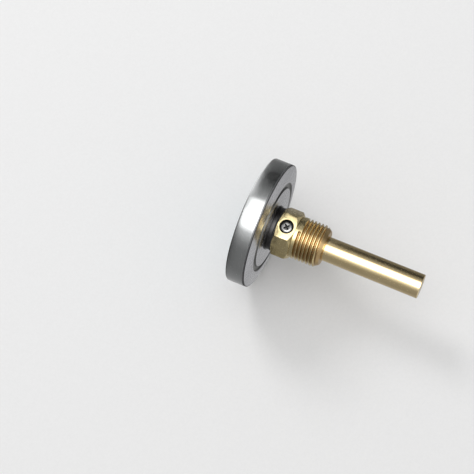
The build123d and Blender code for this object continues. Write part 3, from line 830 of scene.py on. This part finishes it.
@dataclass
class ScrewHole:
    """Counterbored hole for the clamp screw, cut down from the top flat."""

    middle_y: float = SCREW_Y
    shank: float = 2.05
    shank_z: float = 4.0
    counterbore: float = COUNTERBORE
    floor_z: float = 8.55
    face_z: float = HEX_FLAT
    clear: float = 1.0
    edge: float = 0.15
    columns: int = 72

    def cut(self, piece: Piece) -> None:
        """Take the hole out of the pocket's body.

        The cutter is a stepped turned shape about the Z axis: x = r sin(a), y = r cos(a).
        """
        over = self.face_z + self.clear
        outline = np.array([
            (0.0, self.shank_z),
            (self.shank, self.shank_z),
            (self.shank, self.floor_z),
            (self.counterbore, self.floor_z),
            (self.counterbore, self.face_z - self.edge),
            (self.counterbore + self.edge, self.face_z),
            (self.counterbore + self.edge, over),
            (0.0, over),
        ])
        turned, faces = turned_grid(outline, self.columns)
        along_hole = turned[:, 2] + self.middle_y * MM
        places = np.stack([turned[:, 0], along_hole, turned[:, 1]], axis=1)
        cutter = mesh_piece("hole_cutter", places, faces)
        hole = piece.modifiers.new("screw hole", "BOOLEAN")
        hole.operation = "DIFFERENCE"
        hole.solver = "EXACT"
        hole.object = cutter
        applied(piece)
        bpy.data.objects.remove(cutter)
        smooth(piece, CREASE)


@dataclass
class Neck:
    """Turned parts between the pocket and the case."""

    bore: float = NECK_BORE
    guide: float = STEM_GUIDE
    nut_radius: float = 10.7
    nut_rear: float = -11.7
    seal_radius: float = 10.9
    seal_rear: float = SEAL_REAR
    hex_rear: float = -HEX_LENGTH

    def build(self) -> None:
        """Make the nut and the seal, and dress the rest."""
        nut = turned_piece(
            "neck_collar",
            [
                (self.bore, self.nut_rear, 0),
                (self.nut_radius, self.nut_rear, 0.15),
                (self.nut_radius, self.seal_rear, 0.3),
                (self.bore, self.seal_rear, 0),
            ],
        )
        stand_for(nut, Finish.NECK_STEEL, "head", "neck_nut")
        seal = turned_piece(
            "pocket_gasket",
            [
                (self.guide, self.seal_rear, 0.1),
                (self.seal_radius, self.seal_rear, 0.2),
                (self.seal_radius, self.hex_rear, 0.2),
                (self.guide, self.hex_rear, 0.1),
            ],
        )
        stand_for(seal, Finish.RUBBER, "swivel", "pocket_seal")
        dress_node("neck_washer", Finish.NECK_STEEL)
        dress_node("neck_bush", Finish.BUSH_STEEL)
        dress_node("stem_tube", Finish.STEM_STEEL)
        dress_node("stem_end_plug", Finish.STEM_STEEL)


@dataclass
class Case:
    """Pressed back, polished bezel and window."""

    radius: float = 31.5
    wall: float = 30.9
    wall_inner: float = 30.2
    bore: float = NECK_BORE
    back: float = -12.1
    back_inner: float = -12.8
    seam: float = -13.9
    wall_front: float = -18.4
    shoulder: float = 24.6
    shoulder_y: float = -12.25
    shoulder_bend: float = 1.2
    flange: float = 31.4
    flange_sheet: float = 0.35
    flange_fold: float = 0.4
    groove_outer: float = 22.5
    groove_inner: float = 20.6
    groove_run: float = 0.5
    groove_y: float = -13.1
    sheet: float = 0.7
    soft: float = 0.3
    front: float = -23.0
    seam_gap: float = 0.5
    lip_inner: float = 30.4
    lip_bend: float = 0.52
    lip_step: float = 0.25
    lip_depth: float = 0.75
    rim_depth: float = 1.35
    slope_bulge: float = 0.55
    slope_bend: float = 1.2
    sight: float = 27.9
    sight_edge: float = 0.25
    window_front: float = -20.6
    window_back: float = -19.1
    window_radius: float = 30.7
    columns: int = 256

    def build(self) -> None:
        """Make the case's pieces."""
        run, soft = self.groove_run, self.soft
        pan = turned_piece(
            "case_back",
            [
                (self.bore, self.back, 0),
                (self.groove_inner - run, self.back, soft),
                (self.groove_inner, self.groove_y, soft),
                (self.groove_outer, self.groove_y, soft),
                (self.groove_outer + run, self.shoulder_y, soft),
                (self.shoulder, self.shoulder_y, self.shoulder_bend),
                (self.flange, self.seam + self.flange_sheet, 0.15),
                (self.flange, self.seam, 0.05),
                (self.wall, self.seam, 0),
                (self.wall, self.wall_front, 0),
                (self.wall_inner, self.wall_front, 0),
                (self.wall_inner, self.seam - self.flange_fold, 0.2),
                (self.shoulder, self.shoulder_y - self.sheet, soft),
                (self.groove_outer + run, self.shoulder_y - self.sheet, soft),
                (self.groove_outer, self.groove_y - self.sheet, soft),
                (self.groove_inner, self.groove_y - self.sheet, soft),
                (self.groove_inner - run, self.back_inner, soft),
                (self.bore, self.back_inner, 0),
            ],
            self.columns,
        )
        stand_for(pan, Finish.CASE_STEEL, "head", "case_pan")
        start = self.lip_inner - self.lip_step
        middle = (start + self.sight) / 2
        edge = self.window_front - self.sight_edge
        bezel = turned_piece(
            "bezel",
            [
                (self.wall, self.seam - self.seam_gap, 0),
                (self.radius, self.seam - self.seam_gap, 0.15),
                (self.radius, self.front, self.lip_bend),
                (self.lip_inner, self.front, self.lip_bend),
                (start, self.front + self.lip_depth, 0.25),
                (middle, edge - self.slope_bulge, self.slope_bend),
                (self.sight, edge, 0),
                (self.sight, self.window_front, 0),
                (middle, self.window_front, 0),
                (start, self.front + self.rim_depth, 0),
                (self.wall, self.front + self.rim_depth, 0),
            ],
            self.columns,
        )
        stand_for(bezel, Finish.BEZEL_STEEL, "head", "bezel_ring")
        glass = turned_piece(
            "window_glass",
            [
                (0, self.window_front, 0),
                (self.window_radius, self.window_front, 0.2),
                (self.window_radius, self.window_back, 0.2),
                (0, self.window_back, 0),
            ],
        )
        stand_for(glass, Finish.GLASS, "head", "window")
        dress_node("window_seal", Finish.RUBBER)
        dress_node("dial_ring", Finish.RING_LACQUER)
        dress_node("dial_spacer", Finish.SPACER)


@dataclass
class Dial:
    """Dial disc with its printed scale."""

    prints: tuple[str, ...] = ("scale_lines", "scale_bars", "scale_numerals", "unit_mark")

    def build(self) -> None:
        """Dress the dial and its print."""
        dress_node("dial_plate", Finish.DIAL_WHITE)
        for node in self.prints:
            dress_node(node, Finish.INK)


@dataclass
class Pointer:
    """Blade, bright hub and the movement behind them."""

    spindle: float = 0.75
    hub_bore: float = 1.3
    hub_radius: float = 2.57
    hub_back: float = -16.6
    blade_front: float = -17.55
    hub_front: float = -18.3
    hub_wall: float = 0.35
    dome_share: float = 0.55
    hub_columns: int = 128
    hand_edge: float = 0.06

    def build(self) -> None:
        """Make the pointer's pieces and dress the movement."""
        hand = softened_copy("pointer_blade", "pointer_hand", self.hand_edge)
        stand_for(hand, Finish.POINTER_BLACK, "pointer", "pointer_blade")
        hub = turned_piece(
            "pointer_button",
            [
                (self.spindle, self.hub_back, 0),
                (self.hub_bore, self.hub_back, 0.05),
                (self.hub_bore, self.blade_front, 0),
                (self.hub_radius, self.blade_front, 0.04),
                (self.hub_radius, self.hub_front + self.hub_wall, 0.12),
                (self.hub_radius * self.dome_share, self.hub_front, 0.6),
                (self.spindle, self.hub_front, 0.03),
            ],
            self.hub_columns,
        )
        stand_for(hub, Finish.HUB_NICKEL, "pointer", "pointer_hub")
        dress_node("spindle", Finish.SPINDLE)
        dress_node("upper_bearing", Finish.BEARING)
        dress_node("lower_bearing", Finish.BEARING)
        dress_node("coil_collar", Finish.BEARING)
        dress_node("bimetal_coil", Finish.BIMETAL)
        dress_node("coil_anchor", Finish.BUSH_STEEL)


@dataclass
class ClampScrew:
    """Small cross-recess screw in the top flat of the hexagon."""

    edge: float = 0.07

    def build(self) -> None:
        """Make the screw with softened edges."""
        screw = softened_copy("clamp_screw", "clamp_screw_head", self.edge)
        stand_for(screw, Finish.SCREW_STEEL, "clamp_screw", "clamp_screw")


# ---- Studio ----
@dataclass(frozen=True)
class Softbox:
    """Rectangular lamp aimed at the object."""

    name: str
    place: tuple[float, float, float]
    width: float
    height: float
    power: float
    target: tuple[float, float, float] = (0.0, 0.01, 0.0)

    def hang(self) -> None:
        """Put the lamp in the scene, unseen by the camera and in the metal."""
        lamp = bpy.data.lights.new(self.name, "AREA")
        lamp.shape = "RECTANGLE"
        lamp.size = self.width
        lamp.size_y = self.height
        lamp.energy = self.power
        holder = bpy.data.objects.new(self.name, lamp)
        aim = (Vector(self.target) - Vector(self.place)).to_track_quat("-Z", "Y")
        holder.matrix_world = Matrix.Translation(self.place) @ aim.to_matrix().to_4x4()
        holder.visible_camera = False
        holder.visible_glossy = False
        bpy.context.scene.collection.objects.link(holder)


@dataclass(frozen=True)
class Room:
    """Room that the metal mirrors, with a plain level for the camera and for diffuse light.

    The mirrored light depends on the angle around the Y axis from straight up, atan2(x, z).
    One set of (degrees, level) stops holds around the middle, one for what lies to the rear and
    one for what lies forwards. Straight along the Y axis it fades to one level at each end.
    """

    top: float = 4.6
    front_end: float = 0.05
    rear_end: float = 0.48
    fill: float = 0.69
    seen: float = 0.85
    front_from: tuple[float, float] = (0.26, 0.33)
    rear_from: tuple[float, float] = (0.30, 0.55)
    ends_from: tuple[float, float] = (0.90, 0.985)
    middle: Stops = (
        (-180.0, 0.50),
        (-160.0, 0.46),
        (-130.0, 0.22),
        (-93.0, 0.12),
        (-86.0, 0.05),
        (-63.0, 0.05),
        (-46.0, 0.25),
        (-31.0, 0.42),
        (-23.0, 0.70),
        (-19.0, 2.9),
        (-5.0, 3.0),
        (3.0, 4.6),
        (22.0, 4.6),
        (31.0, 2.7),
        (37.0, 1.1),
        (58.0, 0.44),
        (73.0, 0.29),
        (120.0, 0.27),
        (155.0, 0.38),
        (180.0, 0.50),
    )
    rear: Stops = (
        (-180.0, 0.62),
        (-110.0, 0.44),
        (-88.0, 0.14),
        (-58.0, 0.14),
        (-26.0, 0.55),
        (-16.0, 1.9),
        (26.0, 1.9),
        (42.0, 0.80),
        (75.0, 0.46),
        (125.0, 0.70),
        (180.0, 0.62),
    )
    front: Stops = (
        (-180.0, 0.12),
        (-136.0, 0.24),
        (-122.0, 1.8),
        (-34.0, 1.8),
        (-16.0, 0.50),
        (30.0, 0.22),
        (60.0, 0.09),
        (95.0, 0.05),
        (160.0, 0.05),
        (180.0, 0.12),
    )

    def levels(self, graph: Graph, angle: Socket, stops: Stops) -> Socket:
        """Level of light at an angle, from stops joined by straight lines.

        Args:
            graph: The surroundings' node tree.
            angle: Angle in radians, from -pi to pi.
            stops: (degrees, level) pairs, from -180 to 180.

        Returns:
            The level's socket.
        """
        node = graph.node("FloatCurve")
        turn = graph.math("DIVIDE", angle, 2 * math.pi)
        graph.feed(node.inputs["Value"], graph.math("ADD", turn, 0.5))
        curve = node.mapping.curves[0]
        places = [(degrees / 360.0 + 0.5, level / self.top) for degrees, level in stops]
        for _ in range(len(places) - len(curve.points)):
            curve.points.new(0.5, 0.5)
        for point, place in zip(curve.points, places):
            point.location = place
            point.handle_type = "VECTOR"
        node.mapping.update()
        return graph.math("MULTIPLY", node.outputs[0], self.top)

    def light(self) -> None:
        """Make the surroundings of the scene."""
        world = bpy.data.worlds.new("studio")
        bpy.context.scene.world = world
        world.use_nodes = True
        world.cycles.sampling_method = "NONE"
        graph = Graph(world.node_tree)
        x, y, z = graph.axes(graph.node("TexCoord").outputs["Generated"])
        angle = graph.math("ARCTAN2", x, z)
        ahead = graph.math("MULTIPLY", y, -1.0)
        level = self.levels(graph, angle, self.middle)
        for place, reach, other in (
            (ahead, self.front_from, self.levels(graph, angle, self.front)),
            (y, self.rear_from, self.levels(graph, angle, self.rear)),
            (ahead, self.ends_from, self.front_end),
            (y, self.ends_from, self.rear_end),
        ):
            level = graph.merge(graph.span(place, reach, easing="SMOOTHSTEP"), level, other)
        path = graph.node("LightPath")
        level = graph.merge(path.outputs["Is Glossy Ray"], self.fill, level)
        level = graph.merge(path.outputs["Is Camera Ray"], level, self.seen)
        glow = graph.node("Background")
        glow.inputs["Color"].default_value = (1.0, 1.0, 1.0, 1.0)
        graph.feed(glow.inputs["Strength"], level)
        graph.feed(graph.node("OutputWorld").inputs["Surface"], glow.outputs[0])


@dataclass
class Studio:
    """Pale floor, soft lamps, surroundings and camera."""

    floor_z: float = -0.0316
    floor_half: float = 3.0
    azimuth: float = 131.08
    elevation: float = 72.34
    roll: float = -17.67
    distance: float = 0.6275
    pivot: tuple[float, float, float] = (0.0, 0.020, 0.0)
    shift: tuple[float, float] = (-0.04664, 0.00722)
    lens: float = 100.0
    sensor: float = 36.0
    nearest: float = 0.01
    boxes: tuple[Softbox, ...] = (
        Softbox("overhead", (0.0, -0.1, 1.3), 1.2, 1.2, 2.6),
        Softbox("front_left", (-0.7, -1.0, 1.1), 0.5, 0.5, 7.5),
    )

    def floor(self) -> None:
        """Lay a plain pale floor."""
        half = self.floor_half
        sides = ((-half, -half), (half, -half), (half, half), (-half, half))
        mesh = bpy.data.meshes.new("floor")
        mesh.from_pydata([(x, y, self.floor_z) for x, y in sides], [], [(0, 1, 2, 3)])
        floor = linked("floor", mesh)
        recipe = Recipe("floor_paper")
        grain = recipe.noise(recipe.place, 900.0, 3.0)
        darker, paler = (0.83, 0.83, 0.83, 1), (0.85, 0.85, 0.85, 1)
        tone = recipe.blend(recipe.remap(grain, 0.0, 1.0), darker, paler)
        recipe.shade(Base_Color=tone, Roughness=0.9, Specular_IOR_Level=0.1)
        mesh.materials.append(recipe.material)
        floor.visible_glossy = False

    def camera(self) -> None:
        """Set the camera.

        It stands at the pivot plus the distance along the direction of the azimuth and the
        elevation, moved sideways and up by the shift in its own rolled axes.
        """
        turn, lift, roll = (math.radians(value) for value in (self.azimuth, self.elevation, self.roll))
        level_run = math.cos(lift)
        away = Vector((math.sin(turn) * level_run, -math.cos(turn) * level_run, math.sin(lift)))
        level = Vector((0, 0, 1)).cross(away).normalized()
        upright = away.cross(level)
        right = math.cos(roll) * level + math.sin(roll) * upright
        up = -math.sin(roll) * level + math.cos(roll) * upright
        across, rise = self.shift
        place = Vector(self.pivot) + self.distance * away + across * right + rise * up
        view = bpy.data.cameras.new("camera")
        view.lens = self.lens
        view.sensor_width = self.sensor
        view.clip_start = self.nearest
        holder = bpy.data.objects.new("camera", view)
        holder.matrix_world = Matrix.Translation(place) @ Matrix((right, up, away)).transposed().to_4x4()
        bpy.context.scene.collection.objects.link(holder)
        bpy.context.scene.camera = holder

    def build(self) -> None:
        """Set the whole studio."""
        self.camera()
        self.floor()
        Room().light()
        for box in self.boxes:
            box.hang()
        bpy.context.scene.view_settings.view_transform = "Standard"


def main() -> None:
    """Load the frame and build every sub-assembly."""
    logging.basicConfig(level=logging.INFO, format="%(name)s: %(message)s")
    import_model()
    Studio().build()
    builders: tuple[Callable[[], None], ...] = (
        Pocket().build,
        ClampScrew().build,
        Neck().build,
        Case().build,
        Dial().build,
        Pointer().build,
    )
    for build in builders:
        build()


if __name__ == "__main__":
    main()
